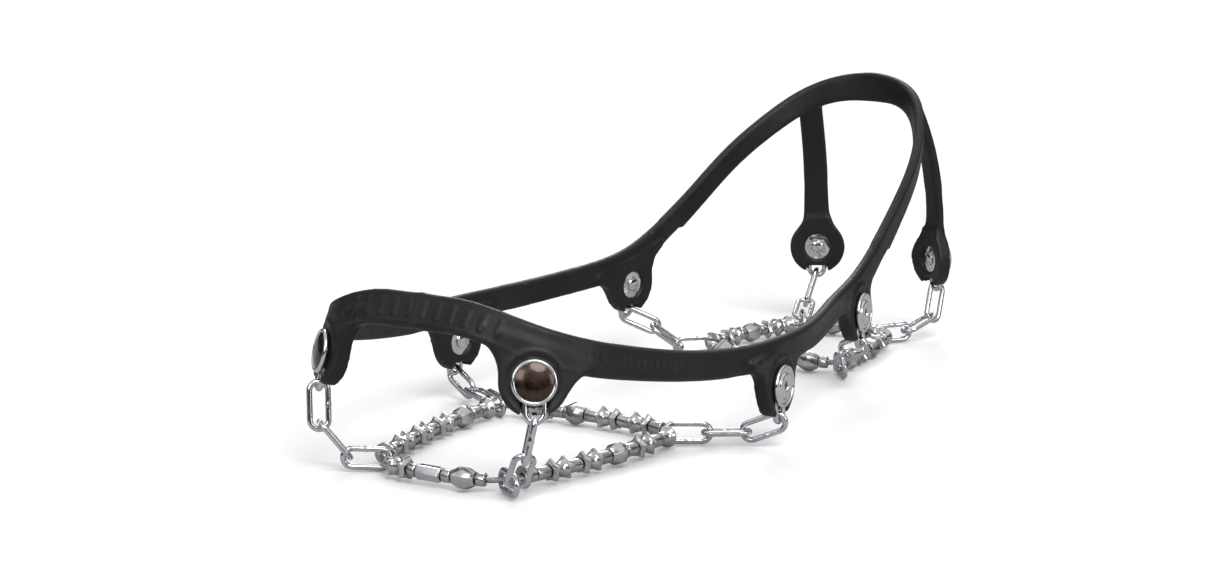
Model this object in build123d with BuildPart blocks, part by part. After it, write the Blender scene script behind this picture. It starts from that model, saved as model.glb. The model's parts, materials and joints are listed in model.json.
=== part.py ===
from build123d import *
import math
import os

# Traction cleat for a boot, in the shape it takes when worn: a rubber harness band with
# eight riveted lugs, a chain hanging from each lug, and two beaded cable nets underfoot.
# Millimetres. +Z up, toe toward -Y, wearer's left side toward +X,
# origin on the ground under the middle of the foot.

os.makedirs("parts", exist_ok=True)

# ---------------------------------------------------------------- dimensions
overrun = 2.0               # how far cutting tools run past the faces they cut

link_length = 16.6          # welded chain link, outside
link_width = 7.7
link_wire = 1.9
link_seat = 1.3             # anchor link's plane, outward of the lug mid-plane
bow_radius = (link_width - link_wire) / 2                   # centre line of an end bow
bow_centre = (link_length - link_wire) / 2 - bow_radius     # link centre to bow centre

cable_radius = 1.0
cable_bore = 1.35           # bore radius of everything that is loose on the cable
net_height = 4.0            # cable centre above the ground
strand_end = 4.6            # first and last cable point, in from the corners
strand_inset = 5.5          # evenly spaced cable points start this far in
point_spacing = 5.5         # least spacing of those points

bead_length = 7.5
bead_radius = 3.85          # over the points
tube_radius = 2.15
tube_chamfer = 0.3
cone_length = 4.8
cone_radius = 3.6
crimp_length = 9.0
crimp_radius = 2.6
crimp_chamfer = 0.4
item_gap = 0.4
item_turn = 37              # degrees each item is turned past the one before

band_thickness = 3.6
band_corner = 1.3           # corner radius of the band's section

lug_thickness = 4.8
lug_radius = 10.5           # round eye
slab_width = 54.0           # blank the lug is cut from
slab_depth = 40.0
slab_drop = 14.0            # blank's bottom below the rivet
slab_height = 34.0
outline_reach = 14.0        # lug outline is cut this far either side of the mid-plane
web_edge_lift = 0.9         # web's ends above the band's lower edge
web_middle_lift = 1.0       # web's middle above the band's centre line
heel_web_half = 12.0 / 2 - 0.8
heel_web_top = 8.0 + 4.0    # band centre above the rivet, and a run into the band

pocket_half_width = 4.1     # pocket for the anchor link
pocket_length = 7.5         # below the rivet
pocket_floor = 0.2          # outward of the lug mid-plane
pocket_cut = 6.0
tongue_width = 3.1          # rubber left standing inside the link
tongue_length = 6.0
notch_length = 12.4         # through notch below the pocket

cap_radius = 6.9            # rivet
cap_back = 2.5
shank_radius = 1.5
clench_radius = 2.3
clench_back = -2.3
clench_front = -1.75
rivet_hole_radius = shank_radius + 0.1
washer_radius = 4.9
washer_thickness = 0.6
washer_back = -1.7
washer_clearance = 0.1
washer_recess = 1.35        # depth of the seat in the boot side of each lug

# ---------------------------------------------------------------- tables
# Band centre line, left half, from the toe round to the heel: point, outward normal, width
band_stations = [
    ((0.0, -138.6, 55.4), (0.0, -0.84, 0.54), 11.4),
    ((12.7, -138.3, 54.9), (0.12, -0.84, 0.52), 11.4),
    ((25.3, -136.7, 52.7), (0.33, -0.81, 0.44), 11.4),
    ((36.8, -131.6, 48.3), (0.57, -0.75, 0.27), 11.6),
    ((46.5, -122.0, 43.9), (0.77, -0.60, 0.20), 11.4),
    ((52.5, -104.8, 39.3), (0.90, -0.40, 0.13), 10.6),
    ((57.8, -83.0, 35.0), (0.96, -0.24, 0.07), 9.8),
    ((61.8, -58.0, 32.0), (0.99, -0.06, 0.03), 9.6),
    ((63.2, -34.4, 31.2), (0.995, 0.10, 0.02), 9.8),
    ((60.9, -12.5, 31.4), (0.98, 0.17, 0.02), 9.4),
    ((56.0, 8.0, 32.5), (0.97, 0.22, 0.02), 9.0),
    ((50.2, 29.0, 34.4), (0.98, 0.19, 0.03), 9.4),
    ((46.8, 48.0, 37.2), (0.985, 0.14, 0.04), 10.2),
    ((44.4, 66.0, 44.5), (0.98, 0.14, 0.04), 9.8),
    ((41.6, 86.0, 56.0), (0.97, 0.20, 0.03), 9.0),
    ((37.8, 107.0, 69.5), (0.93, 0.36, 0.0), 8.6),
    ((31.0, 124.0, 80.5), (0.80, 0.60, -0.03), 8.6),
    ((22.0, 136.4, 88.8), (0.52, 0.85, -0.05), 9.0),
    ((11.2, 143.4, 92.8), (0.22, 0.97, -0.05), 10.0),
    ((0.0, 145.4, 93.8), (0.0, 1.0, -0.05), 11.0),
]
# half the band's width over the ball lug, taken for every web that follows the band
web_band_half = band_stations[8][2] / 2

# Leg from the band down the back of the heel: same columns
leg_stations = [
    ((22.2, 136.8, 88.4), (0.52, 0.85, 0.10), 9.0),
    ((24.0, 142.6, 76.0), (0.52, 0.85, 0.10), 9.0),
    ((25.2, 147.4, 60.0), (0.52, 0.85, 0.06), 9.2),
    ((25.6, 149.2, 46.0), (0.52, 0.85, 0.03), 9.8),
    ((25.3, 149.6, 35.0), (0.52, 0.85, 0.0), 11.0),
]

# Left-hand lugs.
#   rivet   rivet centre on the lug mid-plane
#   normal  outward normal
#   bend    radius the lug is bent to round the boot, None where it is flat
#   flare   where the web leaves the round eye, degrees from the along-band direction
#   web     run of the web along the band: toe-side end, middle, heel-side end
#           (the heel lug's web runs up into the leg instead)
lugs = {
    "toe": dict(rivet=(38.4, -133.7, 37.0), normal=(0.60, -0.765, 0.23),
                bend=38.0, flare=(175.0, -32.0), web=(-20.0, 0.0, 20.0)),
    "ball": dict(rivet=(63.0, -34.4, 20.4), normal=(0.994, 0.10, 0.02),
                 bend=None, flare=(202.0, -22.0), web=(-19.0, 0.0, 19.0)),
    "arch": dict(rivet=(46.7, 48.6, 28.4), normal=(0.986, 0.15, 0.04),
                 bend=None, flare=(212.0, 4.0), web=(-19.0, 0.0, 16.5)),
    "heel": dict(rivet=(25.2, 149.6, 29.6), normal=(0.52, 0.85, 0.0),
                 bend=46.0, flare=(172.0, 8.0), web=None),
}
sides = {"left": 1, "right": -1}

# Free links of each left-hand chain, rivet end first: centre, direction toward
# the net, normal of the link's plane
free_links = {
    "toe": [
        ((39.781, -137.942, 20.832), (-0.13870, -0.16065, -0.97722), (0.71153, 0.67017, -0.21116)),
        ((35.172, -136.171, 10.134), (-0.51960, 0.36312, -0.77341), (-0.51671, 0.58737, 0.62291)),
        ((27.019, -130.687, 4.241), (-0.80883, 0.58617, -0.04687), (-0.58785, -0.80803, 0.03894)),
    ],
    "ball": [
        ((60.139, -36.299, 6.674), (-0.87105, -0.30679, -0.38361), (-0.31749, 0.94755, -0.03688)),
        ((48.915, -40.765, 4.333), (-0.90307, -0.42687, -0.04737), (-0.06361, 0.02386, 0.99769)),
        ((38.091, -46.950, 4.000), (-0.84037, -0.54201, 0.00003), (0.54194, -0.84028, 0.01520)),
    ],
    "arch": [
        ((44.311, 52.175, 14.833), (-0.82706, 0.40997, -0.38456), (0.29909, 0.90022, 0.31647)),
        ((36.781, 58.837, 8.247), (-0.39388, 0.71058, -0.58303), (-0.61174, 0.27077, 0.74328)),
        ((30.527, 67.965, 3.990), (-0.66204, 0.74947, 0.00088), (-0.74586, -0.65874, -0.09874)),
    ],
    "heel": [
        ((26.849, 148.065, 13.318), (0.07533, -0.45250, -0.88858), (-0.89878, 0.35514, -0.25705)),
        ((24.973, 139.145, 6.419), (-0.33751, -0.88420, -0.32292), (-0.22489, -0.25737, 0.93978)),
        ((19.247, 128.575, 3.999), (-0.55951, -0.82883, 0.00015), (0.82831, -0.55915, 0.03548)),
    ],
}

# Cable nets. Each has four corners and four strands, counter-clockwise seen from above,
# starting at the right front corner.
#   corners  left front and left rear corner points
#   turns    where the rounded cable turns, just inside those corners
#   strands  name, outward bulge, what is threaded on it in order from its start corner
nets = {
    "forefoot": dict(
        corners=((24.3, -128.9), (35.2, -48.5)),
        turns=((22.853, -127.669), (33.762, -49.742)),
        strands=[
            ("toe_strand", 5.2, "short spool short crimp short convex short"),
            ("left_forefoot", 3.6,
             "cone long spool long spool long convex long spool long cone"),
            ("ball_strand", 3.6, "long spool long spool long convex long spool long"),
            ("right_forefoot", 3.6,
             "cone long convex long spool long spool long spool long cone"),
        ],
    ),
    "heel": dict(
        corners=((28.7, 70.7), (17.8, 125.6)),
        turns=((27.155, 71.806), (16.389, 124.328)),
        strands=[
            ("heel_front", 4.4, "short convex short crimp short spool short convex short"),
            ("left_heel", 2.6, "cone short spool short convex short spool cone"),
            ("heel_rear", 3.0, "short spool long convex short"),
            ("right_heel", 2.6, "cone spool short convex short spool short cone"),
        ],
    ),
}
item_length = {"spool": bead_length, "convex": bead_length, "long": 5.0, "short": 3.0,
               "cone": cone_length, "crimp": crimp_length}
# fittings that share a file; each bead has its own
fitting_file = {"cone": "end_cones", "long": "tube_spacers", "short": "tube_spacers",
                "crimp": "cable_crimps"}

# ---------------------------------------------------------------- helpers
UP = Vector(0, 0, 1)


def square_to(vector, direction):
    """Part of vector square to the unit vector direction, as a unit vector."""
    return (vector - direction * vector.dot(direction)).normalized()


def on_side(vector, side):
    """A left-hand vector carried to the given side, +1 left or -1 right."""
    return Vector(vector.X * side, vector.Y, vector.Z)


def save(part, name):
    part.label = name
    export_step(part, f"parts/{name}.step")


def save_placed(name, placements):
    """Write one file holding a copy of each (part, plane)."""
    with BuildPart() as placed:
        for part, plane in placements:
            with Locations(plane.location):
                add(part)
    save(placed.part, name)


# ---------------------------------------------------------------- lug frames
def lug_frame(name, side=1):
    """Rivet centre, outward normal, along-band direction and up direction of a lug."""
    rivet = Vector(*lugs[name]["rivet"])
    normal = Vector(*lugs[name]["normal"]).normalized()
    along = UP.cross(normal).normalized()
    up = normal.cross(along).normalized()
    return [on_side(vector, side) for vector in (rivet, normal, along, up)]


def lug_plane(name, side=1):
    rivet, normal, along, _ = lug_frame(name, side)
    return Plane(origin=rivet, x_dir=along, z_dir=normal)


def band_over(name, x):
    """x, height and slope of the band's centre line in the lug's plane, x along the band."""
    rivet, _, along, up = lug_frame(name)
    offsets = [Vector(*point) - rivet for point, _, _ in band_stations]
    flat = [(offset.dot(along), offset.dot(up)) for offset in offsets]
    for (x1, y1), (x2, y2) in zip(flat, flat[1:]):
        if x1 <= x <= x2:
            slope = (y2 - y1) / (x2 - x1)
            return x, y1 + slope * (x - x1), slope
    raise ValueError(f"the band does not pass over {name} at {x}")


def web_top(name):
    """Corners of a web's top, +x end first, and the flares' directions at its two ends."""
    if name == "heel":
        corners = [(heel_web_half, heel_web_top), (-heel_web_half, heel_web_top)]
        return corners, (-0.1, 1), (-0.1, -1)
    left, middle, right = [band_over(name, x) for x in lugs[name]["web"]]
    drop = web_band_half - web_edge_lift
    corners = [
        (right[0], right[1] - drop),
        (right[0], right[1]),
        (middle[0], middle[1] + web_middle_lift),
        (left[0], left[1]),
        (left[0], left[1] - drop),
    ]
    return corners, (1, right[2]), (1, left[2])


def on_eye(degrees):
    """Point of the round eye and the counter-clockwise direction there."""
    angle = math.radians(degrees)
    c, s = math.cos(angle), math.sin(angle)
    return (lug_radius * c, lug_radius * s), (-s, c)


# ---------------------------------------------------------------- rubber harness
def lug_blank(name):
    """Round eye under a web that sweeps into the band, on a flat or bent slab."""
    rivet, _, along, up = lug_frame(name)
    bend = lugs[name]["bend"]
    start, start_direction = on_eye(lugs[name]["flare"][0])
    end, end_direction = on_eye(lugs[name]["flare"][1])
    top, right_direction, left_direction = web_top(name)

    with BuildPart() as blank:
        with BuildSketch(Plane(origin=rivet - up * slab_drop, x_dir=along, z_dir=up)):
            if bend:
                with Locations((0, bend)):
                    Circle(bend + lug_thickness / 2)
                    Circle(bend - lug_thickness / 2, mode=Mode.SUBTRACT)
                Rectangle(slab_width, slab_depth, mode=Mode.INTERSECT)
            else:
                Rectangle(slab_width, lug_thickness)
        extrude(amount=slab_height)
        with BuildSketch(lug_plane(name).offset(-outline_reach)):
            with BuildLine():
                ThreePointArc(start, (0, -lug_radius), end)
                Spline(end, top[0], tangents=(end_direction, right_direction))
                for corner, next_corner in zip(top, top[1:]):
                    Line(corner, next_corner)
                Spline(top[-1], start, tangents=(left_direction, start_direction))
            make_face()
        extrude(amount=2 * outline_reach, mode=Mode.INTERSECT)
    return blank.part


def section_planes(stations, mirrored_ends):
    """Planes square to the line of stations; mirrored ends meet the other half squarely."""
    points = [Vector(*point) for point, _, _ in stations]
    last = len(points) - 1
    tangents = [(points[min(i + 1, last)] - points[max(i - 1, 0)]).normalized()
                for i in range(len(points))]
    if mirrored_ends:
        tangents[0], tangents[-1] = Vector(1, 0, 0), Vector(-1, 0, 0)
    return [
        Plane(origin=point, x_dir=square_to(Vector(*normal).normalized(), tangent), z_dir=tangent)
        for (point, normal, _), tangent in zip(stations, tangents)
    ]


def harness_band():
    """Band, heel leg and lugs: the left half, then mirrored."""
    blanks = [lug_blank(name) for name in lugs]
    with BuildPart() as harness:
        for stations, mirrored_ends in ((band_stations, True), (leg_stations, False)):
            planes = section_planes(stations, mirrored_ends)
            for plane, (_, _, width) in zip(planes, stations):
                with BuildSketch(plane):
                    RectangleRounded(band_thickness, width, band_corner)
            loft()
        for blank in blanks:
            add(blank)
        for name in lugs:
            mid_plane = lug_plane(name)
            # pocket for the anchor link, open outward, round a standing tongue
            with BuildSketch(mid_plane.offset(pocket_floor)):
                with Locations((0, -pocket_length / 2)):
                    Rectangle(2 * pocket_half_width, pocket_length)
                Circle(pocket_half_width)
                with Locations((0, tongue_length / 2 - pocket_length)):
                    Rectangle(tongue_width, tongue_length, mode=Mode.SUBTRACT)
            extrude(amount=pocket_cut, mode=Mode.SUBTRACT)
            # through notch below the pocket
            with BuildSketch(mid_plane.offset(-lug_thickness)):
                with Locations((0, -pocket_length - notch_length / 2)):
                    Rectangle(2 * pocket_half_width, notch_length)
            extrude(amount=2 * lug_thickness, mode=Mode.SUBTRACT)
            # rivet hole
            with BuildSketch(mid_plane.offset(-lug_thickness)):
                Circle(rivet_hole_radius)
            extrude(amount=2 * lug_thickness, mode=Mode.SUBTRACT)
            # washer seat in the boot side
            with BuildSketch(mid_plane.offset(-lug_thickness / 2 - overrun)):
                Circle(washer_radius + washer_clearance)
            extrude(amount=overrun + washer_recess, mode=Mode.SUBTRACT)
        mirror(about=Plane.YZ)
    return harness.part


save(harness_band(), "harness_band")

# ---------------------------------------------------------------- rivets and washers
# Rivet profiles are (radius, height outward of the lug mid-plane).
# Clenched back end, shank and cap underside, shared by both rivets:
rivet_foot = [
    (0, clench_back), (clench_radius, clench_back), (clench_radius, clench_front),
    (shank_radius, clench_front), (shank_radius, cap_back),
    (cap_radius - 0.5, cap_back), (cap_radius, 3.0),
]


def domed_rivet():
    """Rivet with a plain domed cap inside a rolled rim."""
    dome_foot = cap_radius - 1.1
    dome_base = 3.7
    dome_rise = 1.05
    dome_top = dome_base + dome_rise
    dome_radius = (dome_foot ** 2 + dome_rise ** 2) / (2 * dome_rise)
    halfway_height = dome_top - dome_radius + math.sqrt(dome_radius ** 2 - (dome_foot / 2) ** 2)
    rim = (cap_radius, 3.5)
    with BuildPart() as rivet:
        with BuildSketch(Plane.XZ):
            with BuildLine():
                Polyline(*rivet_foot, rim)
                ThreePointArc(rim, (cap_radius - 0.5, 4.05), (dome_foot, dome_base))
                ThreePointArc((dome_foot, dome_base), (dome_foot / 2, halfway_height),
                              (0, dome_top))
                Line((0, dome_top), (0, clench_back))
            make_face()
        revolve(axis=Axis.Z)
    return rivet.part


def stepped_rivet():
    """Rivet with a stepped cap and a central dimple inside a rolled rim."""
    rim = (cap_radius, 3.4)
    rim_foot = (cap_radius - 1.3, 3.6)
    with BuildPart() as rivet:
        with BuildSketch(Plane.XZ):
            with BuildLine():
                Polyline(*rivet_foot, rim)
                ThreePointArc(rim, (cap_radius - 0.6, 4.0), rim_foot)
                Polyline(rim_foot, (4.4, 3.5), (3.7, 4.1), (1.7, 4.3), (1.2, 3.5), (0, 3.4),
                         (0, clench_back))
            make_face()
        revolve(axis=Axis.Z)
    return rivet.part


def rivet_washers():
    with BuildPart() as washers:
        for name in lugs:
            for side in sides.values():
                with BuildSketch(lug_plane(name, side).offset(washer_back)):
                    Circle(washer_radius)
                    Circle(rivet_hole_radius, mode=Mode.SUBTRACT)
                extrude(amount=washer_thickness)
    return washers.part


domed = domed_rivet()
stepped = stepped_rivet()
save_placed("toe_rivets", [(domed, lug_plane("toe", side)) for side in sides.values()])
save_placed("side_rivets", [(stepped, lug_plane(name, side))
                            for name in ("ball", "arch", "heel") for side in sides.values()])
save(rivet_washers(), "rivet_washers")


# ---------------------------------------------------------------- chains
def chain_link():
    """One welded link: local X along the link, local Z normal to its plane."""
    with BuildPart() as link:
        for end in (1, -1):
            # end bow, then one straight side
            with BuildSketch(Plane(origin=(end * bow_centre, bow_radius, 0), z_dir=(1, 0, 0))):
                Circle(link_wire / 2)
            revolve(axis=Axis((end * bow_centre, 0, 0), (0, 0, -end)), revolution_arc=180)
            with BuildSketch(Plane(origin=(-bow_centre, end * bow_radius, 0), z_dir=(1, 0, 0))):
                Circle(link_wire / 2)
            extrude(amount=2 * bow_centre)
    return link.part


def link_plane(centre, direction, normal):
    return Plane(origin=centre, x_dir=direction, z_dir=square_to(normal, direction))


def anchor_plane(name, side):
    """Plane of the link held by a lug's rivet, hanging straight down the lug."""
    rivet, normal, _, up = lug_frame(name, side)
    return link_plane(rivet + normal * link_seat - up * bow_centre, up * -1, normal)


link = chain_link()
save_placed("anchor_links", [(link, anchor_plane(name, side))
                             for name in lugs for side in sides.values()])
for name, poses in free_links.items():
    for side_name, side in sides.items():
        for number, pose in enumerate(poses, start=1):
            plane = link_plane(*[on_side(Vector(*vector), side) for vector in pose])
            save_placed(f"{side_name}_{name}_link_{number}", [(link, plane)])


# ---------------------------------------------------------------- cable nets
class Strand:
    """Circular-arc strand between two net corners, bulging outward."""

    def __init__(self, start, end, bulge):
        chord = end - start
        half = chord.length / 2
        self.along = chord.normalized()
        self.outward = Vector(self.along.Y, -self.along.X, 0)
        self.radius = (half * half + bulge * bulge) / (2 * bulge)
        self.centre = (start + end) * 0.5 + self.outward * (bulge - self.radius)
        self.half_angle = math.asin(half / self.radius)
        self.length = 2 * self.half_angle * self.radius

    def point(self, distance):
        angle = distance / self.radius - self.half_angle
        ray = self.outward * math.cos(angle) + self.along * math.sin(angle)
        return self.centre + ray * self.radius

    def tangent(self, distance):
        angle = distance / self.radius - self.half_angle
        return (self.along * math.cos(angle) - self.outward * math.sin(angle)).normalized()


def four_corners(front, rear):
    """Right front, left front, left rear, right rear, from the two left-hand points."""
    flat = [(-front[0], front[1]), front, rear, (-rear[0], rear[1])]
    return [Vector(x, y, net_height) for x, y in flat]


def net_strands(net):
    corners = four_corners(*net["corners"])
    return [Strand(corners[i], corners[(i + 1) % 4], bulge)
            for i, (_, bulge, _) in enumerate(net["strands"])]


def cable_points(net):
    points = []
    for turn_point, strand in zip(four_corners(*net["turns"]), net_strands(net)):
        points.append(turn_point)
        inner = strand.length - 2 * strand_inset
        count = max(4, int(inner / point_spacing))
        points.append(strand.point(strand_end))
        points += [strand.point(strand_inset + inner * k / count) for k in range(count + 1)]
        points.append(strand.point(strand.length - strand_end))
    return points


def cable(net):
    points = cable_points(net)
    with BuildPart() as loop:
        with BuildLine() as path:
            Spline(*points, periodic=True)
        with BuildSketch(Plane(origin=path.line @ 0, z_dir=path.line % 0)):
            Circle(cable_radius)
        sweep()
    return loop.part


for net_name, net in nets.items():
    save(cable(net), f"{net_name}_cable")


# ---------------------------------------------------------------- beads and fittings
# All are centred, with local Z along the cable.
def star(outer, inner):
    """Corners of a five-pointed star."""
    corners = []
    for i in range(10):
        radius = inner if i % 2 else outer
        angle = math.pi * i / 5
        corners.append((radius * math.cos(angle), radius * math.sin(angle)))
    return corners


def spool_bead():
    """Waisted core between two star-shaped flanges."""
    end = bead_length / 2
    core_end = end - 0.4
    flange_foot = end - 1.7         # inner face of a flange
    taper_foot = end - 0.6          # where a flange starts to draw in
    core_end_radius = 2.7
    core_radius = 2.9               # at the flanges
    waist_radius = 2.15
    flange_star = star(bead_radius, 2.75)
    end_star = star(2.9, 2.2)
    with BuildPart() as bead:
        with BuildSketch(Plane.XZ):
            with BuildLine():
                Polyline((0, -core_end), (core_end_radius, -core_end), (core_radius, -flange_foot))
                ThreePointArc((core_radius, -flange_foot), (waist_radius, 0),
                              (core_radius, flange_foot))
                Polyline((core_radius, flange_foot), (core_end_radius, core_end), (0, core_end),
                         (0, -core_end))
            make_face()
        revolve(axis=Axis.Z)
        for way in (1, -1):
            with BuildSketch(Plane.XY.offset(way * flange_foot)):
                Polygon(*flange_star, align=None)
            extrude(amount=way * (taper_foot - flange_foot))
            with BuildSketch(Plane.XY.offset(way * taper_foot)):
                Polygon(*flange_star, align=None)
            with BuildSketch(Plane.XY.offset(way * end)):
                Polygon(*end_star, align=None)
            loft(ruled=True)
        Cylinder(cable_bore, bead_length + overrun, mode=Mode.SUBTRACT)
    return bead.part


def convex_bead():
    """Hexagonal bead, widest in the middle."""
    # (distance from the middle, radius over the points)
    sections = [(0, bead_radius), (1.0, bead_radius - 0.1), (bead_length / 2, 2.35)]
    with BuildPart() as bead:
        for way in (1, -1):
            for distance, radius in sections:
                with BuildSketch(Plane.XY.offset(way * distance)):
                    RegularPolygon(radius, 6)
            loft(ruled=True)
        Cylinder(cable_bore, bead_length + overrun, mode=Mode.SUBTRACT)
    return bead.part


def end_cone():
    """Flared sleeve with its wide end toward +Z."""
    end = cone_length / 2
    rim_foot = end - 0.8
    with BuildPart() as cone:
        with BuildSketch(Plane.XZ):
            with BuildLine():
                Line((cable_bore, -end), (tube_radius, -end))
                Spline((tube_radius, -end), (2.35, 0), (cone_radius, rim_foot),
                       tangents=((0, 1), (0.8, 1)))
                Polyline((cone_radius, rim_foot), (cone_radius, end - 0.2),
                         (cone_radius - 0.3, end), (cable_bore, end), (cable_bore, -end))
            make_face()
        revolve(axis=Axis.Z)
    return cone.part


def tube(length):
    with BuildPart() as piece:
        Cylinder(tube_radius, length)
        Cylinder(cable_bore, length + overrun, mode=Mode.SUBTRACT)
        outer_edges = piece.edges().filter_by(GeomType.CIRCLE).group_by(SortBy.RADIUS)[-1]
        chamfer(outer_edges, tube_chamfer)
    return piece.part


def crimp_sleeve():
    """Hexagonal sleeve, bored closer to the cable than the loose items."""
    with BuildPart() as sleeve:
        with BuildSketch(Plane.XY.offset(-crimp_length / 2)):
            RegularPolygon(crimp_radius, 6)
        extrude(amount=crimp_length)
        chamfer(sleeve.faces().filter_by(Axis.Z).edges(), crimp_chamfer)
        Cylinder(cable_radius + 0.2, crimp_length + overrun, mode=Mode.SUBTRACT)
    return sleeve.part


def strand_items(strand, kinds):
    """(kind, centre, axis) of everything threaded on a strand."""
    items = []
    total = sum(item_length[kind] for kind in kinds) + item_gap * (len(kinds) - 1)
    start = (strand.length - total) / 2
    for i, kind in enumerate(kinds):
        length = item_length[kind]
        middle = start + length / 2
        point = strand.point(middle)
        axis = strand.tangent(middle)
        if kind == "cone" and i == 0:
            axis = axis * -1        # a cone's wide end faces its corner
        # an item sits on the chord of its stretch of cable
        sag = length ** 2 / (24 * strand.radius)
        inward = (strand.centre - point).normalized()
        items.append((kind, point + inward * sag, axis))
        start += length + item_gap
    return items


def item_plane(centre, axis, degrees):
    """Plane square to the cable, turned about it from level."""
    level = UP.cross(axis).normalized()
    angle = math.radians(degrees)
    return Plane(origin=centre, x_dir=level * math.cos(angle) + UP * math.sin(angle), z_dir=axis)


shapes = {"spool": spool_bead(), "convex": convex_bead(), "cone": end_cone(),
          "long": tube(item_length["long"]), "short": tube(item_length["short"]),
          "crimp": crimp_sleeve()}
fittings = {file_name: [] for file_name in fitting_file.values()}
turn = 0
for net in nets.values():
    for strand, (strand_name, _, threading) in zip(net_strands(net), net["strands"]):
        bead_number = 0
        for kind, centre, axis in strand_items(strand, threading.split()):
            turn = (turn + item_turn) % 360
            if kind in fitting_file:
                placement = (shapes[kind], item_plane(centre, axis, 0))
                fittings[fitting_file[kind]].append(placement)
            else:
                bead_number += 1
                placement = (shapes[kind], item_plane(centre, axis, turn))
                save_placed(f"{strand_name}_bead_{bead_number}", [placement])

for file_name, placements in fittings.items():
    save_placed(file_name, placements)
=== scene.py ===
import json
import math
import bpy
import bmesh
import numpy as np
from mathutils import Matrix, Vector
from mathutils.kdtree import KDTree


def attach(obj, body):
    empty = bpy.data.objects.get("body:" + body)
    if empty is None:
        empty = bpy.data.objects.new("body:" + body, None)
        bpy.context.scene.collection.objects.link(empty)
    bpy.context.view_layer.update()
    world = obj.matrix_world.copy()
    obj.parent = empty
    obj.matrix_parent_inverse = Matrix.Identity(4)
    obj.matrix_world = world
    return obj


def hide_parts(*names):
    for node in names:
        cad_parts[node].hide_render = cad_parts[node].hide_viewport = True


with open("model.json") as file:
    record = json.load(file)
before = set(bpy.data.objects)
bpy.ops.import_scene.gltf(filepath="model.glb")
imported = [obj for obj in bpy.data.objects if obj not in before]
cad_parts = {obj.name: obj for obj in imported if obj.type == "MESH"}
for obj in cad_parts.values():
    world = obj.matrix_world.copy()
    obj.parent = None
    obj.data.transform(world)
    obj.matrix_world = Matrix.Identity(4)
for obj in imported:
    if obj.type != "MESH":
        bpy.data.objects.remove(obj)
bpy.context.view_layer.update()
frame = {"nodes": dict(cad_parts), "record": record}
NODES = frame["nodes"]
MM = 0.001


# ------------------------------------------------------------------ materials
def new_mat(name):
    m = bpy.data.materials.new(name)
    m.use_nodes = True
    nt = m.node_tree
    b = nt.nodes.get("Principled BSDF")
    return m, nt, b


def node(nt, kind, **kw):
    n = nt.nodes.new(kind)
    for k, v in kw.items():
        setattr(n, k, v)
    return n


def coords(nt, scale):
    tc = node(nt, "ShaderNodeTexCoord")
    mp = node(nt, "ShaderNodeMapping")
    mp.inputs["Scale"].default_value = scale if hasattr(scale, "__len__") else (scale,) * 3
    nt.links.new(tc.outputs["Object"], mp.inputs["Vector"])
    return mp.outputs["Vector"]


def noise(nt, vec, scale, detail=4, rough=0.55):
    n = node(nt, "ShaderNodeTexNoise")
    n.inputs["Scale"].default_value = scale
    n.inputs["Detail"].default_value = detail
    n.inputs["Roughness"].default_value = rough
    nt.links.new(vec, n.inputs["Vector"])
    return n.outputs["Fac"]


def ramp(nt, fac, stops):
    r = node(nt, "ShaderNodeValToRGB")
    e = r.color_ramp.elements
    while len(e) < len(stops):
        e.new(0.5)
    for el, (p, c) in zip(e, stops):
        el.position = p
        el.color = (*c, 1) if hasattr(c, "__len__") else (c, c, c, 1)
    nt.links.new(fac, r.inputs["Fac"])
    return r.outputs["Color"]


def bump(nt, b, pairs):
    """pairs of (height socket, strength, distance in metres)"""
    last = None
    for h, s, d in pairs:
        n = node(nt, "ShaderNodeBump")
        n.inputs["Strength"].default_value = s
        n.inputs["Distance"].default_value = d
        nt.links.new(h, n.inputs["Height"])
        if last:
            nt.links.new(last, n.inputs["Normal"])
        last = n.outputs["Normal"]
    nt.links.new(last, b.inputs["Normal"])


def rubber():
    m, nt, b = new_mat("rubber_black")
    v = coords(nt, 1.0)
    cloud = noise(nt, v, 55, 5)
    fine = noise(nt, v, 2600, 3, 0.6)
    dust = noise(nt, v, 640, 6, 0.7)
    # moulded rubber is near black; the paler, bluer tint on its convex edges is a painted highlight standing in for
    # the soft sheen of light along them
    geo = node(nt, "ShaderNodeNewGeometry")
    edge_highlight = ramp(nt, geo.outputs["Pointiness"], [(0.515, 0.0), (0.60, 1.0)])
    col = ramp(nt, cloud, [(0.30, (0.0060, 0.0052, 0.0064)), (0.70, (0.0120, 0.0102, 0.0126))])
    mix = node(nt, "ShaderNodeMix", data_type="RGBA")
    # painted highlight: the paler, bluer edge colour that the Pointiness mask mixes in
    mix.inputs["B"].default_value = (0.034, 0.030, 0.036, 1)
    nt.links.new(col, mix.inputs["A"])
    nt.links.new(edge_highlight, mix.inputs["Factor"])
    nt.links.new(mix.outputs["Result"], b.inputs["Base Color"])
    nt.links.new(ramp(nt, dust, [(0.33, 0.36), (0.70, 0.55)]), b.inputs["Roughness"])
    b.inputs["Specular IOR Level"].default_value = 0.30
    bump(nt, b, [(fine, 0.15, 0.00006), (noise(nt, v, 380, 4), 0.12, 0.00025)])
    return m


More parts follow.
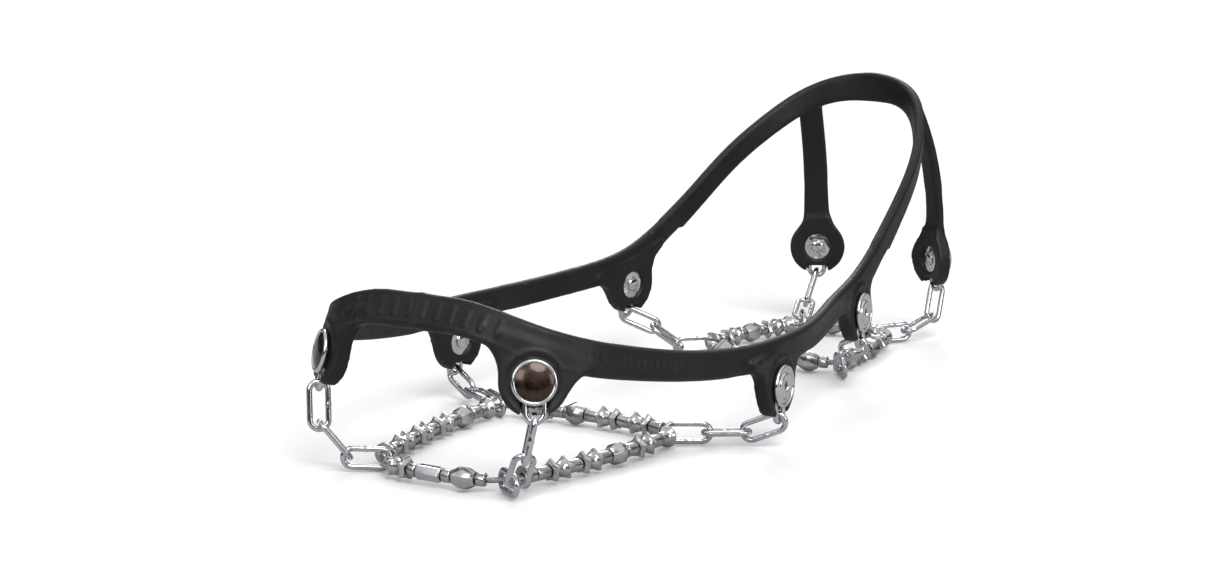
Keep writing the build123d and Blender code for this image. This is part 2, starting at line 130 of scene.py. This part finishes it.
def steel(name, light, dark, rough, grime=0.25, dent=0.10, scratch=True):
    m, nt, b = new_mat(name)
    v = coords(nt, 1.0)
    b.inputs["Metallic"].default_value = 1.0
    patch = noise(nt, v, 240, 5, 0.6)
    speck = noise(nt, v, 1900, 4, 0.65)
    base = ramp(nt, patch, [(0.30, dark), (0.62, light)])
    mix = node(nt, "ShaderNodeMix", data_type="RGBA")
    mix.inputs["B"].default_value = (0.20, 0.19, 0.18, 1)
    nt.links.new(base, mix.inputs["A"])
    f = ramp(nt, speck, [(0.60, 0.0), (0.82, grime)])
    nt.links.new(f, mix.inputs["Factor"])
    nt.links.new(mix.outputs["Result"], b.inputs["Base Color"])
    nt.links.new(ramp(nt, patch, [(0.3, rough + 0.09), (0.7, rough - 0.03)]), b.inputs["Roughness"])
    heights = [(noise(nt, v, 900, 3), dent, 0.00012)]
    if scratch:
        sv = coords(nt, (900, 5200, 2600))
        heights.append((noise(nt, sv, 1.0, 2, 0.5), 0.10, 0.00004))
    bump(nt, b, heights)
    return m


def bronze():
    m, nt, b = new_mat("dark_bronze_dome")
    v = coords(nt, 1.0)
    b.inputs["Metallic"].default_value = 0.85
    n = noise(nt, v, 420, 5, 0.6)
    nt.links.new(ramp(nt, n, [(0.3, (0.020, 0.0115, 0.008)), (0.7, (0.070, 0.040, 0.027))]), b.inputs["Base Color"])
    nt.links.new(ramp(nt, n, [(0.3, 0.20), (0.7, 0.32)]), b.inputs["Roughness"])
    b.inputs["Coat Weight"].default_value = 0.5
    b.inputs["Coat Roughness"].default_value = 0.08
    bump(nt, b, [(noise(nt, v, 1500, 3), 0.06, 0.0001)])
    return m


M_RUBBER = rubber()
M_LINK = steel("zinc_steel_link", (0.78, 0.78, 0.80), (0.58, 0.58, 0.60), 0.13, grime=0.14, dent=0.07)
M_BEAD = steel("zinc_steel_bead", (0.72, 0.71, 0.705), (0.46, 0.45, 0.44), 0.17, grime=0.45, dent=0.13)
M_TUBE = steel("zinc_steel_tube", (0.62, 0.62, 0.63), (0.38, 0.38, 0.39), 0.20, grime=0.45)
M_BRIGHT = steel("polished_steel_cap", (0.82, 0.82, 0.83), (0.66, 0.66, 0.68), 0.12, grime=0.14, dent=0.05)
M_CRIMP = steel("polished_steel_crimp", (0.80, 0.80, 0.81), (0.62, 0.62, 0.64), 0.14, grime=0.2)
M_CABLE = steel("cable_steel_wire", (0.50, 0.50, 0.51), (0.28, 0.28, 0.29), 0.28, grime=0.5)
M_BRONZE = bronze()
M_PIT = steel("shaded_steel_dimple", (0.16, 0.155, 0.15), (0.08, 0.078, 0.075), 0.40, grime=0.3)

MAT_OF = {"harness_band": M_RUBBER, "toe_rivets": M_BRIGHT, "side_rivets": M_BRIGHT, "rivet_washers": M_BRIGHT,
          "anchor_links": M_LINK, "forefoot_cable": M_CABLE, "heel_cable": M_CABLE, "cable_crimps": M_CRIMP,
          "tube_spacers": M_TUBE, "end_cones": M_BEAD}


def mat_for(name):
    if name in MAT_OF:
        return MAT_OF[name]
    return M_LINK if "_link_" in name else M_BEAD


for name, o in NODES.items():
    o.data.materials.clear()
    o.data.materials.append(mat_for(name))

BODY_OF = {}
for body, names in frame["record"]["behaviour"]["bodies"].items():
    for n in names:
        BODY_OF[n] = body


# ------------------------------------------------------------------ helpers
def clean_copy(name, weld=0.00001, flat_deg=1.0):
    """bmesh of a CAD node with its triangles joined back into flat faces"""
    src = NODES[name]
    bm = bmesh.new()
    bm.from_mesh(src.data)
    bm.transform(src.matrix_world)
    bmesh.ops.remove_doubles(bm, verts=bm.verts, dist=weld)
    if flat_deg:
        bmesh.ops.dissolve_limit(bm, angle_limit=math.radians(flat_deg), verts=bm.verts, edges=bm.edges)
    return bm


def to_object(bm, name, mats):
    me = bpy.data.meshes.new(name)
    bm.to_mesh(me)
    bm.free()
    for m in mats:
        me.materials.append(m)
    for p in me.polygons:
        p.use_smooth = True
    o = bpy.data.objects.new(name, me)
    bpy.context.collection.objects.link(o)
    return o


def apply_mods(o):
    dg = bpy.context.evaluated_depsgraph_get()
    me = bpy.data.meshes.new_from_object(o.evaluated_get(dg))
    o.modifiers.clear()
    old = o.data
    o.data = me
    me.name = old.name
    for p in me.polygons:
        p.use_smooth = True


def bevelled(name, width, mats, segments=2, angle=30):
    o = to_object(clean_copy(name), name + "_look", mats)
    b = o.modifiers.new("bevel", "BEVEL")
    b.width = width
    b.segments = segments
    b.limit_method = "ANGLE"
    b.angle_limit = math.radians(angle)
    b.harden_normals = True
    b.use_clamp_overlap = True
    apply_mods(o)
    return o


def place(o, node_name):
    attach(o, BODY_OF[node_name])
    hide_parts(node_name)


# ------------------------------------------------------------------ beads and fittings
for name in NODES:
    if "_bead_" in name:
        place(bevelled(name, 0.00016, [M_BEAD]), name)
place(bevelled("cable_crimps", 0.00022, [M_CRIMP]), "cable_crimps")
place(bevelled("tube_spacers", 0.00012, [M_TUBE]), "tube_spacers")
place(bevelled("end_cones", 0.00015, [M_BEAD]), "end_cones")

# ------------------------------------------------------------------ chain links
HALF_BOW, BOW_R, WIRE_R = (16.6 - 1.9) / 2 * MM, (7.7 - 1.9) / 2 * MM, 0.95 * MM
BOW_C = HALF_BOW - BOW_R


def stadium(t):
    """point and tangent round a link's centre line, t from 0 to 1, starting mid-way along one side"""
    side, arc = 2 * BOW_C, math.pi * BOW_R
    total = 2 * side + 2 * arc
    d = (t % 1.0) * total
    if d < side / 2:
        return (d, -BOW_R), (1, 0)
    d -= side / 2
    if d < arc:
        q = -math.pi / 2 + d / BOW_R
        return (BOW_C + BOW_R * math.cos(q), BOW_R * math.sin(q)), (-math.sin(q), math.cos(q))
    d -= arc
    if d < side:
        return (BOW_C - d, BOW_R), (-1, 0)
    d -= side
    if d < arc:
        q = math.pi / 2 + d / BOW_R
        return (-BOW_C + BOW_R * math.cos(q), BOW_R * math.sin(q)), (-math.sin(q), math.cos(q))
    d -= arc
    return (-side / 2 + d, -BOW_R), (1, 0)


def link_verts(seed):
    """one welded link: round wire with the raised collar of its butt weld on one side"""
    rings, around = 84, 16
    co = np.zeros((rings, around, 3))
    for i in range(rings):
        (x, y), (tx, ty) = stadium(i / rings)
        d = (i / rings + 0.5) % 1.0 - 0.5
        along = abs(d) * (4 * BOW_C + 2 * math.pi * BOW_R)
        swell = 1 + 0.085 * math.exp(-(along / (0.45 * MM)) ** 2) - 0.03 * math.exp(-((along - 1.3 * MM) / (0.4 * MM)) ** 2)
        for j in range(around):
            q = 2 * math.pi * j / around
            wob = 1 + 0.006 * math.sin(3 * q + seed + 9 * i / rings)
            r = WIRE_R * swell * wob
            co[i, j] = (x + ty * math.cos(q) * r, y - tx * math.cos(q) * r, math.sin(q) * r)
    return co.reshape(-1, 3), rings, around


def frames_of(name):
    """centre and axes (length, width, normal) of every link in a CAD node"""
    bm = clean_copy(name, flat_deg=0)
    out, left = [], set(bm.verts)
    while left:
        seed = left.pop()
        stack, group = [seed], [seed]
        while stack:
            v = stack.pop()
            for ed in v.link_edges:
                w = ed.other_vert(v)
                if w in left:
                    left.remove(w)
                    group.append(w)
                    stack.append(w)
        p = np.array([v.co[:] for v in group])
        c = (p.max(0) + p.min(0)) / 2
        u, sv, vt = np.linalg.svd(p - p.mean(0), full_matrices=False)
        ax = vt[:3]
        c = p.mean(0)
        q = (p - c) @ ax.T
        c = c + ((q.max(0) + q.min(0)) / 2) @ ax
        if np.linalg.det(ax) < 0:
            ax[2] *= -1
        out.append((c, ax))
    bm.free()
    return out


def link_object(name, frames):
    verts, faces, base = [], [], 0
    for k, (c, ax) in enumerate(frames):
        co, rings, around = link_verts(k + len(name) * 0.7 + ord(name[0]))
        verts.append(c + co @ ax)
        for i in range(rings):
            for j in range(around):
                i2, j2 = (i + 1) % rings, (j + 1) % around
                faces.append((base + i * around + j, base + i * around + j2, base + i2 * around + j2, base + i2 * around + j))
        base += rings * around
    me = bpy.data.meshes.new(name + "_look")
    me.from_pydata(np.concatenate(verts).tolist(), [], faces)
    me.materials.append(M_LINK)
    bm = bmesh.new()
    bm.from_mesh(me)
    bmesh.ops.recalc_face_normals(bm, faces=bm.faces)
    bm.to_mesh(me)
    bm.free()
    for p in me.polygons:
        p.use_smooth = True
    o = bpy.data.objects.new(name + "_look", me)
    bpy.context.collection.objects.link(o)
    return o


for name in NODES:
    if "_link_" in name or name == "anchor_links":
        place(link_object(name, frames_of(name)), name)

# ------------------------------------------------------------------ rivets
LUGS = {"toe": ((38.4, -133.7, 37.0), (0.60, -0.765, 0.23)), "ball": ((63.0, -34.4, 20.4), (0.994, 0.10, 0.02)),
        "arch": ((46.7, 48.6, 28.4), (0.986, 0.15, 0.04)), "heel": ((25.2, 149.6, 29.6), (0.52, 0.85, 0.0))}


def lug_matrix(name, side):
    r, n = LUGS[name]
    n = Vector((n[0] * side, n[1], n[2])).normalized()
    x = Vector((0, 0, 1)).cross(n).normalized()
    y = n.cross(x)
    m = Matrix((x, y, n)).transposed().to_4x4()
    m.translation = Vector((r[0] * side, r[1], r[2])) * MM
    return m


def smooth_profile(pts, cuts=4):
    """open profile through the points, rounded by a Catmull-Rom curve; a doubled point stays sharp"""
    out = []
    for i in range(len(pts) - 1):
        p0 = pts[max(i - 1, 0)]
        p1, p2 = pts[i], pts[i + 1]
        p3 = pts[min(i + 2, len(pts) - 1)]
        for k in range(cuts):
            t = k / cuts
            out.append(tuple(0.5 * (2 * b + (c - a) * t + (2 * a - 5 * b + 4 * c - d) * t * t + (3 * b - a - 3 * c + d) * t ** 3)
                             for a, b, c, d in zip(p0, p1, p2, p3)))
    out.append(pts[-1])
    return out


def lathe(bm, profile, matrix, mats, segments=72, tool=0.0):
    """turns (radius, height, material) about local Z, in millimetres"""
    rings = []
    for r, z in profile:
        if r < 1e-6:
            rings.append([bm.verts.new(matrix @ Vector((0, 0, z * MM)))])
        else:
            rings.append([bm.verts.new(matrix @ Vector((r * MM * math.cos(2 * math.pi * k / segments),
                                                        r * MM * math.sin(2 * math.pi * k / segments), z * MM)))
                          for k in range(segments)])
    for i in range(len(rings) - 1):
        a, b = rings[i], rings[i + 1]
        for k in range(segments):
            k2 = (k + 1) % segments
            if len(a) == 1:
                f = bm.faces.new((a[0], b[k2], b[k]))
            elif len(b) == 1:
                f = bm.faces.new((a[k], a[k2], b[0]))
            else:
                f = bm.faces.new((a[k], a[k2], b[k2], b[k]))
            f.material_index = mats[i]
            f.smooth = True


def profile_parts(parts):
    """joins (points, material index, smooth) runs into one profile"""
    prof, mats = [], []
    for pts, mi, smooth in parts:
        run = smooth_profile(pts) if smooth else list(pts)
        if prof and prof[-1] == run[0]:
            run = run[1:]
        mats += [mi] * (len(run) if prof else len(run) - 1)
        prof += run
    return prof, mats


BACK = [(0, -2.3), (2.1, -2.3), (2.3, -2.1), (2.3, -1.75), (1.5, -1.75), (1.5, 2.5), (6.2, 2.5)]
RIM = [(6.2, 2.5), (6.75, 2.72), (6.95, 3.2), (6.85, 3.72), (6.45, 4.02), (6.05, 3.98), (5.82, 3.72)]
DOME = [(5.82, 3.72), (5.5, 3.86), (4.4, 4.24), (3.0, 4.56), (1.5, 4.72), (0, 4.77)]
STEP = [(5.82, 3.72), (5.5, 3.52), (4.9, 3.46), (4.45, 3.52), (4.15, 3.82), (3.85, 4.08), (3.2, 4.2), (2.2, 4.27), (1.75, 4.24),
        (1.5, 4.05), (1.35, 3.72)]
PIT = [(1.35, 3.72), (1.2, 3.5), (0.6, 3.42), (0, 3.4)]
prof_toe = profile_parts([(BACK, 0, False), (RIM, 0, True), (DOME, 1, True)])
prof_side = profile_parts([(BACK, 0, False), (RIM, 0, True), (STEP, 0, True), (PIT, 1, True)])


def rivets(node_name, names, prof, mats):
    bm = bmesh.new()
    for n in names:
        for side in (1, -1):
            lathe(bm, prof[0], lug_matrix(n, side), prof[1])
    bmesh.ops.recalc_face_normals(bm, faces=bm.faces)
    me = bpy.data.meshes.new(node_name + "_look")
    bm.to_mesh(me)
    bm.free()
    for m in mats:
        me.materials.append(m)
    o = bpy.data.objects.new(node_name + "_look", me)
    bpy.context.collection.objects.link(o)
    place(o, node_name)


rivets("toe_rivets", ["toe"], prof_toe, [M_BRIGHT, M_BRONZE])
rivets("side_rivets", ["ball", "arch", "heel"], prof_side, [M_BRIGHT, M_PIT])
place(bevelled("rivet_washers", 0.00012, [M_BRIGHT]), "rivet_washers")

# ------------------------------------------------------------------ wire rope
NETS = {"forefoot_cable": ([(-24.3, -128.9), (24.3, -128.9), (35.2, -48.5), (-35.2, -48.5)], [5.2, 3.6, 3.6, 3.6],
                           [(-22.853, -127.669), (22.853, -127.669), (33.762, -49.742), (-33.762, -49.742)]),
        "heel_cable": ([(-28.7, 70.7), (28.7, 70.7), (17.8, 125.6), (-17.8, 125.6)], [4.4, 2.6, 3.0, 2.6],
                       [(-27.155, 71.806), (27.155, 71.806), (16.389, 124.328), (-16.389, 124.328)])}


def strand_points(p, q, bulge, stops):
    p, q = np.array(p), np.array(q)
    c = q - p
    half = np.linalg.norm(c) / 2
    ev = c / (2 * half)
    nv = np.array([ev[1], -ev[0]])
    rad = (half * half + bulge * bulge) / (2 * bulge)
    centre = (p + q) / 2 + nv * (bulge - rad)
    ha = math.asin(half / rad)
    length = 2 * ha * rad
    out = []
    for s in stops(length):
        t = s / rad - ha
        out.append(centre + (nv * math.cos(t) + ev * math.sin(t)) * rad)
    return out


def net_path(name):
    corners, bulges, turns = NETS[name]
    pts = []
    for i in range(4):
        pts.append(np.array(turns[i]))
        pts += strand_points(corners[i], corners[(i + 1) % 4], bulges[i],
                             lambda L: [4.6] + [5.5 + (L - 11) * k / max(4, int((L - 11) / 5.5)) for k in range(max(4, int((L - 11) / 5.5)) + 1)] + [L - 4.6])
    pts = np.array(pts)
    n = len(pts)
    # periodic cubic through the points, chord-length spaced
    h = np.linalg.norm(np.roll(pts, -1, 0) - pts, axis=1)
    A = np.zeros((n, n))
    B = np.zeros((n, 2))
    for i in range(n):
        hp, hi = h[i - 1], h[i]
        A[i, i - 1] += 1 / hp
        A[i, i] += 2 * (1 / hp + 1 / hi)
        A[i, (i + 1) % n] += 1 / hi
        B[i] = 3 * ((pts[(i + 1) % n] - pts[i]) / hi ** 2 + (pts[i] - pts[i - 1]) / hp ** 2)
    slope = np.linalg.solve(A, B)
    out = []
    for i in range(n):
        m = max(2, int(h[i] / 0.45))
        for k in range(m):
            t = k / m
            h00, h10, h01, h11 = 2 * t ** 3 - 3 * t * t + 1, t ** 3 - 2 * t * t + t, -2 * t ** 3 + 3 * t * t, t ** 3 - t * t
            out.append(h00 * pts[i] + h10 * h[i] * slope[i] + h01 * pts[(i + 1) % n] + h11 * h[i] * slope[(i + 1) % n])
    return np.array(out)


def rope(name):
    p = net_path(name)
    n = len(p)
    tan = np.roll(p, -1, 0) - np.roll(p, 1, 0)
    tan /= np.linalg.norm(tan, axis=1)[:, None]
    arc = np.concatenate([[0], np.cumsum(np.linalg.norm(np.roll(p, -1, 0) - p, axis=1))])
    total = arc[-1]
    turns = round(total / 8.5)
    verts, faces = [], []
    wires = [(0.0, 0.0, 0.36)] + [(2 * math.pi * k / 6, 0.655, 0.335) for k in range(6)]
    around = 7
    for ph, off, wr in wires:
        base = len(verts)
        for i in range(n):
            q = ph + 2 * math.pi * turns * arc[i] / total
            side = np.array([tan[i][1], -tan[i][0], 0.0])
            up = np.array([0, 0, 1.0])
            c = np.array([p[i][0], p[i][1], 4.0]) + (side * math.cos(q) + up * math.sin(q)) * off
            for j in range(around):
                w = 2 * math.pi * j / around
                verts.append((c + (side * math.cos(w) + up * math.sin(w)) * wr) * MM)
        for i in range(n):
            for j in range(around):
                i2, j2 = (i + 1) % n, (j + 1) % around
                faces.append((base + i * around + j, base + i * around + j2, base + i2 * around + j2, base + i2 * around + j))
    me = bpy.data.meshes.new(name + "_look")
    me.from_pydata([tuple(v) for v in verts], [], faces)
    me.materials.append(M_CABLE)
    bm = bmesh.new()
    bm.from_mesh(me)
    bmesh.ops.recalc_face_normals(bm, faces=bm.faces)
    bm.to_mesh(me)
    bm.free()
    for q in me.polygons:
        q.use_smooth = True
    o = bpy.data.objects.new(name + "_look", me)
    bpy.context.collection.objects.link(o)
    place(o, name)


rope("forefoot_cable")
rope("heel_cable")

# ------------------------------------------------------------------ rubber harness
BAND = [
    ((0.0, -138.6, 55.4), (0.0, -0.84, 0.54), 11.4),
    ((12.7, -138.3, 54.9), (0.12, -0.84, 0.52), 11.4),
    ((25.3, -136.7, 52.7), (0.33, -0.81, 0.44), 11.4),
    ((36.8, -131.6, 48.3), (0.57, -0.75, 0.27), 11.6),
    ((46.5, -122.0, 43.9), (0.77, -0.60, 0.20), 11.4),
    ((52.5, -104.8, 39.3), (0.90, -0.40, 0.13), 10.6),
    ((57.8, -83.0, 35.0), (0.96, -0.24, 0.07), 9.8),
    ((61.8, -58.0, 32.0), (0.99, -0.06, 0.03), 9.6),
    ((63.2, -34.4, 31.2), (0.995, 0.10, 0.02), 9.8),
    ((60.9, -12.5, 31.4), (0.98, 0.17, 0.02), 9.4),
    ((56.0, 8.0, 32.5), (0.97, 0.22, 0.02), 9.0),
    ((50.2, 29.0, 34.4), (0.98, 0.19, 0.03), 9.4),
    ((46.8, 48.0, 37.2), (0.985, 0.14, 0.04), 10.2),
    ((44.4, 66.0, 44.5), (0.98, 0.14, 0.04), 9.8),
    ((41.6, 86.0, 56.0), (0.97, 0.20, 0.03), 9.0),
    ((37.8, 107.0, 69.5), (0.93, 0.36, 0.0), 8.6),
    ((31.0, 124.0, 80.5), (0.80, 0.60, -0.03), 8.6),
    ((22.0, 136.4, 88.8), (0.52, 0.85, -0.05), 9.0),
    ((11.2, 143.4, 92.8), (0.22, 0.97, -0.05), 10.0),
    ((0.0, 145.4, 93.8), (0.0, 1.0, -0.05), 11.0),
]


def band_rows():
    """dense rows along the left half of the band: point, outward normal, width direction, width, distance"""
    pts = np.array([b[0] for b in BAND])
    nrm = np.array([b[1] for b in BAND])
    wid = np.array([b[2] for b in BAND])
    n = len(pts)
    ext = np.vstack([pts[1] * [-1, 1, 1], pts, pts[-2] * [-1, 1, 1]])
    rows, dist = [], 0.0
    last = None
    for i in range(n - 1):
        p0, p1, p2, p3 = ext[i], ext[i + 1], ext[i + 2], ext[i + 3]
        for k in range(40):
            t = k / 40
            p = 0.5 * (2 * p1 + (p2 - p0) * t + (2 * p0 - 5 * p1 + 4 * p2 - p3) * t * t + (3 * p1 - p0 - 3 * p2 + p3) * t ** 3)
            d = 0.5 * ((p2 - p0) + 2 * (2 * p0 - 5 * p1 + 4 * p2 - p3) * t + 3 * (3 * p1 - p0 - 3 * p2 + p3) * t * t)
            d /= np.linalg.norm(d)
            nn = nrm[i] * (1 - t) + nrm[i + 1] * t
            nn -= d * (nn @ d)
            nn /= np.linalg.norm(nn)
            wv = np.cross(d, nn)
            if wv[2] < 0:
                wv = -wv
            if last is not None:
                dist += np.linalg.norm(p - last)
            last = p
            rows.append((p, nn, wv, wid[i] * (1 - t) + wid[i + 1] * t, dist))
    return rows


def ease(x):
    x = np.clip(x, 0, 1)
    return x * x * (3 - 2 * x)


def harness():
    bm = clean_copy("harness_band", flat_deg=0)
    o = to_object(bm, "harness_band_look", [M_RUBBER])
    r = o.modifiers.new("remesh", "REMESH")
    r.mode = "VOXEL"
    r.voxel_size = 0.00050
    r.use_smooth_shade = True
    apply_mods(o)
    me = o.data
    n = len(me.vertices)
    co = np.zeros(n * 3)
    me.vertices.foreach_get("co", co)
    co = co.reshape(-1, 3)
    ed = np.zeros(len(me.edges) * 2, int)
    me.edges.foreach_get("vertices", ed)
    ed = ed.reshape(-1, 2)
    deg = np.zeros(n)
    np.add.at(deg, ed[:, 0], 1)
    np.add.at(deg, ed[:, 1], 1)
    deg = np.maximum(deg, 1)[:, None]

    def relax(c, f):
        s = np.zeros_like(c)
        np.add.at(s, ed[:, 0], c[ed[:, 1]])
        np.add.at(s, ed[:, 1], c[ed[:, 0]])
        return c + (s / deg - c) * f

    for _ in range(7):                                  # rounds every edge without thinning the band
        co = relax(co, 0.55)
        co = relax(co, -0.50)
    for _ in range(4):
        co = relax(co, 0.5)
    # melt the seam where each lug's web runs into the band
    f = co * 1000
    f[:, 0] = np.abs(f[:, 0])
    zone = np.zeros(n)
    for r0, n0 in LUGS.values():
        n0 = np.array(n0) / np.linalg.norm(n0)
        d = f - np.array(r0)
        off = d @ n0
        rad = np.linalg.norm(d - np.outer(off, n0), axis=1)
        up_ = d[:, 2] > 1.5
        zone = np.maximum(zone, ease((rad - 10.0) / 2.0) * ease((30.0 - rad) / 5.0) * up_ * (np.abs(off) < 14))
    zone = zone[:, None]
    for _ in range(34):
        co = co + (relax(co, 0.6) - co) * zone
        co = co + (relax(co, -0.56) - co) * zone
    for _ in range(5):
        co = co + (relax(co, 0.5) - co) * zone
    rows = band_rows()
    tree = KDTree(len(rows))
    for i, row in enumerate(rows):
        tree.insert(Vector(row[0]), i)
    tree.balance()
    P = np.array([x[0] for x in rows])
    N = np.array([x[1] for x in rows])
    W = np.array([x[2] for x in rows])
    wid = np.array([x[3] for x in rows])
    S = np.array([x[4] for x in rows])
    mm = co * 1000
    sgn = np.where(mm[:, 0] < 0, -1.0, 1.0)
    fold = mm.copy()
    fold[:, 0] = np.abs(fold[:, 0])
    idx = np.array([tree.find(Vector(v))[1] for v in fold])
    rel = fold - P[idx]
    un = (rel * N[idx]).sum(1)                          # outward of the band's middle
    vw = (rel * W[idx]).sum(1)                          # across the band
    s = S[idx]
    x_abs = np.abs(fold[:, 0])
    half = wid[idx] / 2
    outer = ease((un - 0.9) / 0.7)                      # only the outer face
    near = (np.abs(vw) < half + 0.5).astype(float)

    def station(x, y, z):
        return S[tree.find(Vector((x, y, z)))[1]]

    s_toe, s_ball, s_arch = station(42.0, -127.0, 46.0), station(63.2, -34.4, 31.2), station(46.8, 48.0, 37.2)
    # plain cross ribs: a row of wide ones on the toe strap, a row of fine ones on each side strap
    toe_zone = ease((30.5 - s) / 3.0)
    side_zone = ease((s - s_toe - 6.0) / 4.0) * ease((s_ball - 9.0 - s) / 5.0)
    long_zone = ease((s - s_ball - 24.0) / 6.0) * ease((s_arch - 20.0 - s) / 8.0)
    wide = np.clip(np.cos(2 * math.pi * (s + 2.6) / 5.2) * 1.6 - 0.35, 0, 1)
    fine = np.clip(np.cos(2 * math.pi * s / 2.7) * 1.5 - 0.1, 0, 1)
    rib = toe_zone * ease((3.2 - np.abs(vw)) / 0.5) * wide * 0.34
    rib += side_zone * ease((2.1 - np.abs(vw)) / 0.45) * fine * 0.24
    # faint sunk lane along the plain part of the side strap
    rib -= long_zone * ease((half - 2.4 - np.abs(vw)) / 0.9) * 0.22
    # raised lip just inside both edges of the strap
    lip = np.exp(-((half - 0.9 - np.abs(vw)) / 0.55) ** 2) * 0.16 * ease((210 - s) / 20)
    # both fade out where a side lug's web takes over the strap's face
    clear = np.ones(len(fold))
    for name in ("ball", "arch"):
        gap = np.linalg.norm(fold - np.array(LUGS[name][0]), axis=1)
        clear = np.minimum(clear, ease((gap - 18.0) / 6.0))
    move = (rib + lip) * outer * near * clear
    mv = N[idx] * move[:, None]
    # short step in the lower edge of the rising strap
    s_step = station(43.0, 76.0, 50.0)
    step = ease((s_step - s) / 2.6) * ease((s - s_step + 26.0) / 22.0)
    mv += W[idx] * (step * ease((-vw) / half) * 1.3 * (np.abs(vw) < half + 1.5) * (np.abs(un) < 4))[:, None]
    # raised rim round each lug's eye, with a shallow seat for the rivet cap inside it
    for name in LUGS:
        r, nn = LUGS[name]
        nn = np.array(nn) / np.linalg.norm(nn)
        rr = fold - np.array(r)
        out = rr @ nn
        rad = np.linalg.norm(rr - np.outer(out, nn), axis=1)
        face = ease((out - 1.2) / 0.8) * (out < 4.5) * (rad < 12)
        rim = np.exp(-((rad - 9.3) / 0.75) ** 2) * 0.42 - np.exp(-((rad - 7.7) / 0.6) ** 2) * 0.14
        mv += nn[None, :] * (rim * face)[:, None]
    mv[:, 0] *= sgn
    co = (mm + mv) / 1000
    for _ in range(8):
        co = co + (relax(co, 0.55) - co) * zone * (1 - toe_zone)[:, None]
    me.vertices.foreach_set("co", co.reshape(-1))
    me.update()
    for p in me.polygons:
        p.use_smooth = True
    place(o, "harness_band")


harness()

# ------------------------------------------------------------------ stage, light, camera
floor_me = bpy.data.meshes.new("floor")
bm = bmesh.new()
bmesh.ops.create_grid(bm, x_segments=1, y_segments=1, size=6.0)
bm.to_mesh(floor_me)
bm.free()
floor = bpy.data.objects.new("floor", floor_me)
floor.location = (0, 0, -0.0002)
bpy.context.collection.objects.link(floor)
fm, nt, b = new_mat("pale_floor")
b.inputs["Base Color"].default_value = (0.90, 0.90, 0.905, 1)
b.inputs["Roughness"].default_value = 0.8
b.inputs["Specular IOR Level"].default_value = 0.2
lp = node(nt, "ShaderNodeLightPath")
fmix = node(nt, "ShaderNodeMix", data_type="RGBA")
fmix.inputs["A"].default_value = (0.90, 0.90, 0.905, 1)
fmix.inputs["B"].default_value = (0.38, 0.38, 0.385, 1)
nt.links.new(lp.outputs["Is Glossy Ray"], fmix.inputs["Factor"])
nt.links.new(fmix.outputs["Result"], b.inputs["Base Color"])
floor_me.materials.append(fm)


def area(name, loc, target, size, power, size_y=None):
    d = bpy.data.lights.new(name, "AREA")
    d.energy = power
    d.size = size
    if size_y:
        d.shape = "RECTANGLE"
        d.size_y = size_y
    o = bpy.data.objects.new(name, d)
    o.location = loc
    o.rotation_euler = (Vector(target) - Vector(loc)).to_track_quat("-Z", "Y").to_euler()
    bpy.context.collection.objects.link(o)
    return o


def sun(name, direction, strength, angle):
    d = bpy.data.lights.new(name, "SUN")
    d.energy = strength
    d.angle = math.radians(angle)
    o = bpy.data.objects.new(name, d)
    o.rotation_euler = (-Vector(direction)).to_track_quat("-Z", "Y").to_euler()
    bpy.context.collection.objects.link(o)


sun("key", (0.62, -0.42, 0.90), 1.55, 32)
sun("rim", (-0.45, 0.75, 0.65), 0.75, 24)
area("front", (0.10, -0.95, 0.50), (0, -0.10, 0.03), 0.35, 1.6)
area("side", (0.95, -0.10, 0.30), (0, 0, 0.03), 0.35, 1.4)
world = bpy.data.worlds.new("studio")
world.use_nodes = True
wt = world.node_tree
bg = wt.nodes["Background"]
wc = node(wt, "ShaderNodeTexCoord")
wx = node(wt, "ShaderNodeSeparateXYZ")
wt.links.new(wc.outputs["Generated"], wx.inputs["Vector"])
sky = ramp(wt, wx.outputs["Z"], [(0.0, (0.035, 0.034, 0.036)), (0.20, (0.05, 0.05, 0.052)), (0.36, (0.55, 0.56, 0.58)),
                                 (0.60, (1.05, 1.06, 1.08)), (1.0, (1.0, 1.0, 1.0))])
# the eye sees a plain pale backdrop; the graded sky only lights the object and shows in the metal
wl = node(wt, "ShaderNodeLightPath")
wm = node(wt, "ShaderNodeMix", data_type="RGBA")
wt.links.new(sky, wm.inputs["A"])
wm.inputs["B"].default_value = (1.36, 1.36, 1.37, 1)
wt.links.new(wl.outputs["Is Camera Ray"], wm.inputs["Factor"])
wt.links.new(wm.outputs["Result"], bg.inputs["Color"])
bg.inputs["Strength"].default_value = 0.72
bpy.context.scene.world = world
bpy.context.scene.view_settings.view_transform = "Standard"

AZ, EL, DIST, FOCAL = 32.3, 11.5, 0.976, 1272.0
ZOOM, CX, CY, PX, PY = 2.25, 678.0, 403.5, 655.0, 388.0
a, e = math.radians(AZ), math.radians(EL)
back = Vector((math.sin(a) * math.cos(e), -math.cos(a) * math.cos(e), math.sin(e)))
cam_d = bpy.data.cameras.new("camera")
cam = bpy.data.objects.new("camera", cam_d)
right = Vector((math.cos(a), math.sin(a), 0))
aim = Vector((0, 0, 0.030)) + right * ((PX - CX) / FOCAL * DIST) + back.cross(right) * ((CY - PY) / FOCAL * DIST)
cam.location = Vector((0, 0, 0.030)) + back * DIST
cam.rotation_euler = (aim - cam.location).to_track_quat("-Z", "Y").to_euler()
cam_d.sensor_width = 36.0
cam_d.lens = FOCAL * ZOOM * 36.0 / 1229.0
bpy.context.collection.objects.link(cam)
bpy.context.scene.camera = cam
